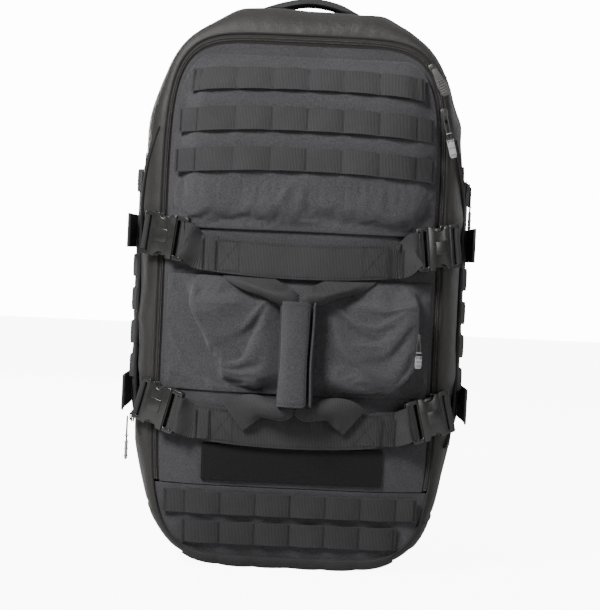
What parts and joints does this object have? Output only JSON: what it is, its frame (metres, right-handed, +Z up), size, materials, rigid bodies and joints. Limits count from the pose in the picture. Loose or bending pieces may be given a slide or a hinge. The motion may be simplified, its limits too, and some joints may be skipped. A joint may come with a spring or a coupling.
{
  "type": "trauma backpack",
  "caption": "Large duffel-style backpack whose padded front opens like a lid, with webbing rows, compression straps, buckles, carry handles, shoulder straps and hip belt.",
  "frame": {"origin": "middle of the flat base, on the surface that the pack stands on", "axes": "+Z up, the front with the webbing rows faces -Y, the wearer's back is at +Y, +X is to the right as seen from the front"},
  "size_m": [0.3868, 0.4225, 0.6418],
  "materials": {
    "body_fabric": "speckled woven nylon, matt",
    "coated_fabric": "coated nylon with a soft sheen",
    "webbing": "ribbed nylon webbing, matt",
    "loop_pile": "hook-and-loop pile, matt",
    "buckle_plastic": "moulded plastic, satin",
    "zip": "coil zip and tape, satin",
    "slider_metal": "painted die-cast metal, satin",
    "pull_rubber": "soft rubber, matt",
    "mesh_pad": "air mesh over foam, matt",
    "frame_plastic": "plain sheet plastic, matt"
  },
  "bodies": {
    "sack": {"back_pad": "mesh_pad", "back_panel": "coated_fabric", "base_panel": "coated_fabric", "frame_sheet": "frame_plastic", "front_skirt": "body_fabric", "lower_webbing_left": "webbing", "lower_webbing_right": "webbing", "lumbar_pad": "mesh_pad", "main_zip": "zip", "pals_row_4": "webbing", "pals_row_5": "webbing", "pals_row_6": "webbing", "side_panel_left": "coated_fabric", "side_panel_right": "coated_fabric", "side_pocket_left": "coated_fabric", "side_pocket_right": "coated_fabric", "side_strap_lower_left": "webbing", "side_strap_lower_right": "webbing", "side_strap_upper_left": "webbing", "side_strap_upper_right": "webbing", "top_panel": "coated_fabric"},
    "lid": {"lid_panel": "body_fabric", "upper_pocket": "body_fabric", "lower_pocket": "body_fabric", "upper_band": "webbing", "lower_band": "webbing", "loop_patch": "loop_pile", "pals_row_1": "webbing", "pals_row_2": "webbing", "pals_row_3": "webbing", "buckle_socket_upper_left": "buckle_plastic", "buckle_socket_upper_right": "buckle_plastic", "buckle_socket_lower_left": "buckle_plastic", "buckle_socket_lower_right": "buckle_plastic"},
    "grab_handle": {"top_handle": "webbing"},
    "carry_handle": {"carry_handle_left": "webbing", "carry_handle_right": "webbing", "handle_wrap": "body_fabric"},
    "plug_upper_left": {"buckle_plug_upper_left": "buckle_plastic"},
    "plug_upper_right": {"buckle_plug_upper_right": "buckle_plastic"},
    "plug_lower_left": {"buckle_plug_lower_left": "buckle_plastic"},
    "plug_lower_right": {"buckle_plug_lower_right": "buckle_plastic"},
    "main_a_slider": {"main_a_slider": "slider_metal"},
    "main_a_pull": {"main_a_pull": "pull_rubber"},
    "main_b_slider": {"main_b_slider": "slider_metal"},
    "main_b_pull": {"main_b_pull": "pull_rubber"},
    "side_left_slider": {"side_left_slider": "slider_metal"},
    "side_left_pull": {"side_left_pull": "pull_rubber"},
    "side_right_slider": {"side_right_slider": "slider_metal"},
    "side_right_pull": {"side_right_pull": "pull_rubber"},
    "pocket_slider": {"pocket_slider": "slider_metal"},
    "pocket_pull": {"pocket_pull": "pull_rubber"},
    "shoulder_strap_left": {"shoulder_pad_left": "mesh_pad", "ladder_lock_left": "buckle_plastic", "sternum_strap_left": "webbing"},
    "shoulder_strap_right": {"shoulder_pad_right": "mesh_pad", "ladder_lock_right": "buckle_plastic", "sternum_strap_right": "webbing"},
    "belt_left": {"belt_wing_left": "mesh_pad"},
    "belt_right": {"belt_wing_right": "mesh_pad"}
  },
  "joints": [
    {"name": "lid_fold", "type": "hinge", "parent": "sack", "child": "lid", "pos_m": [0, -0.11638, 0.092], "axis": [1, 0, 0], "range_deg": [0, 85]},
    {"name": "unclip_upper_left", "type": "slide", "parent": "lid", "child": "plug_upper_left", "axis": [-0.8725, 0.4685, 0.1389], "range_m": [0, 0.024]},
    {"name": "unclip_upper_right", "type": "slide", "parent": "lid", "child": "plug_upper_right", "axis": [0.8725, 0.4685, 0.1389], "range_m": [0, 0.024]},
    {"name": "unclip_lower_left", "type": "slide", "parent": "lid", "child": "plug_lower_left", "axis": [-0.8417, 0.4656, 0.2734], "range_m": [0, 0.024]},
    {"name": "unclip_lower_right", "type": "slide", "parent": "lid", "child": "plug_lower_right", "axis": [0.8417, 0.4656, 0.2734], "range_m": [0, 0.024]},
    {"name": "grab_handle_tilt", "type": "hinge", "parent": "sack", "child": "grab_handle", "pos_m": [0, 0.07, 0.6258], "axis": [1, 0, 0], "range_deg": [-60, 60]},
    {"name": "carry_handle_lift", "type": "slide", "parent": "lid", "child": "carry_handle", "axis": [0, -1, 0], "range_m": [0, 0.02], "stiffness_N_per_m": 20},
    {"name": "main_a_zip_run", "type": "slide", "parent": "sack", "child": "main_a_slider", "axis": [-0.5319, 0, 0.8468], "range_m": [0, 0.012]},
    {"name": "main_a_pull_swing", "type": "hinge", "parent": "main_a_slider", "child": "main_a_pull", "pos_m": [0.13525, -0.1089, 0.556], "axis": [-0.867, 0, -0.4983], "range_deg": [0, 100]},
    {"name": "main_b_zip_run", "type": "slide", "parent": "sack", "child": "main_b_slider", "axis": [-0.1293, 0, 0.9916], "range_m": [-0.06, 0]},
    {"name": "main_b_pull_swing", "type": "hinge", "parent": "main_b_slider", "child": "main_b_pull", "pos_m": [0.14947, -0.1089, 0.508], "axis": [-0.9684, 0, -0.2496], "range_deg": [0, 100]},
    {"name": "side_left_zip_run", "type": "slide", "parent": "sack", "child": "side_left_slider", "axis": [0, 0, 1], "range_m": [0, 0.165]},
    {"name": "side_left_pull_swing", "type": "hinge", "parent": "side_left_slider", "child": "side_left_pull", "pos_m": [-0.1872, -0.054, 0.158], "axis": [0, 1, 0], "range_deg": [0, 100]},
    {"name": "side_right_zip_run", "type": "slide", "parent": "sack", "child": "side_right_slider", "axis": [0, 0, 1], "range_m": [-0.2, 0]},
    {"name": "side_right_pull_swing", "type": "hinge", "parent": "side_right_slider", "child": "side_right_pull", "pos_m": [0.1872, -0.054, 0.432], "axis": [0, -1, 0], "range_deg": [0, 100]},
    {"name": "pocket_zip_run", "type": "slide", "parent": "lid", "child": "pocket_slider", "axis": [0, -0.0001, 1], "range_m": [-0.02, 0.02]},
    {"name": "pocket_pull_swing", "type": "hinge", "parent": "pocket_slider", "child": "pocket_pull", "pos_m": [0.13105, -0.1378, 0.262], "axis": [-0.9468, -0.3217, 0], "range_deg": [0, 100]},
    {"name": "shoulder_strap_left_swing", "type": "hinge", "parent": "sack", "child": "shoulder_strap_left", "pos_m": [-0.056, 0.1225, 0.56], "axis": [1, 0, 0], "range_deg": [0, 35]},
    {"name": "shoulder_strap_right_swing", "type": "hinge", "parent": "sack", "child": "shoulder_strap_right", "pos_m": [0.056, 0.1225, 0.56], "axis": [1, 0, 0], "range_deg": [0, 35]},
    {"name": "belt_left_fold", "type": "hinge", "parent": "sack", "child": "belt_left", "pos_m": [-0.1235, 0.143, 0.125], "axis": [0, 0, -1], "range_deg": [-25, 75]},
    {"name": "belt_right_fold", "type": "hinge", "parent": "sack", "child": "belt_right", "pos_m": [0.1235, 0.143, 0.125], "axis": [0, 0, 1], "range_deg": [-25, 75]}
  ]
}
